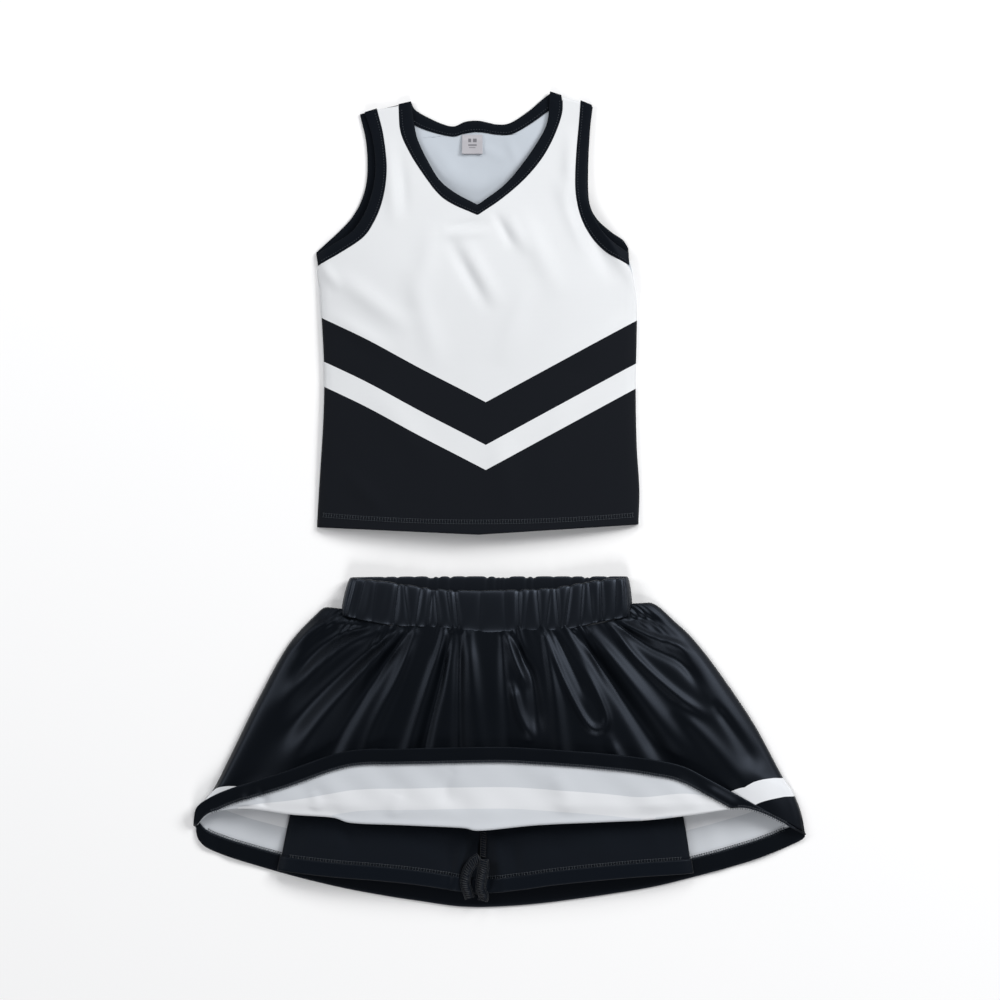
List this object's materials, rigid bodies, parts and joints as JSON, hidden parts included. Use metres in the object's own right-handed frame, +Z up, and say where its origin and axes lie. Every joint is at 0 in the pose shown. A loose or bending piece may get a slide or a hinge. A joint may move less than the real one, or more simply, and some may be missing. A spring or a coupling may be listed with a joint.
{
  "type": "cheer uniform",
  "caption": "Cheer uniform laid flat: sleeveless V-neck shell with chevron bands, and a gathered elastic-waist skirt with built-in shorts and its hem turned up.",
  "frame": {"origin": "centre of the bottom face of the box round both garments as they lie, on the table surface", "axes": "+Y towards the neck along the wearer's height, +X to the wearer's left (the right side seen from above), +Z up from the table"},
  "size_m": [0.672, 0.893, 0.039],
  "materials": {
    "top_knit": "sublimation-printed polyester knit, white with navy chevron and lower body",
    "binding_knit": "navy rib knit binding, folded",
    "label_satin": "pale grey woven satin label",
    "skirt_satin_knit": "satin-faced navy knit, white reverse, white hem stripe",
    "elastic": "woven elastic web",
    "shorts_knit": "navy stretch knit",
    "thread": "navy polyester sewing thread"
  },
  "bodies": {
    "top": {"top_front_panel": "top_knit", "top_back_panel": "top_knit", "neck_binding": "binding_knit", "armhole_binding_left": "binding_knit", "armhole_binding_right": "binding_knit", "shoulder_seam_left": "thread", "shoulder_seam_right": "thread", "side_seam_left": "thread", "side_seam_right": "thread", "neck_topstitch_front": "thread", "neck_topstitch_back": "thread", "armhole_topstitch_left": "thread", "armhole_topstitch_right": "thread", "top_hem_stitch_front": "thread", "top_hem_stitch_back": "thread"},
    "label": {"size_label": "label_satin"},
    "skirt": {"skirt_front_panel": "skirt_satin_knit", "skirt_back_panel": "skirt_satin_knit", "waistband_casing": "skirt_satin_knit", "waist_elastic": "elastic", "waist_seam_thread": "thread", "skirt_side_seam_left": "thread", "skirt_side_seam_right": "thread", "skirt_hem_stitch_front": "thread", "skirt_hem_stitch_back": "thread", "shorts_left_leg": "shorts_knit", "shorts_right_leg": "shorts_knit", "crotch_seam": "thread", "shorts_inseam_left": "thread", "shorts_inseam_right": "thread", "shorts_hem_stitch_left": "thread", "shorts_hem_stitch_right": "thread"}
  },
  "joints": [
    {"name": "skirt_lift", "type": "slide", "parent": "top", "child": "skirt", "axis": [0, 0, 1], "range_m": [0, 0.25]},
    {"name": "label_flip", "type": "hinge", "parent": "top", "child": "label", "pos_m": [-0.0305, 0.4023, 0.00205], "axis": [-1, 0, 0], "range_deg": [0, 120]}
  ]
}
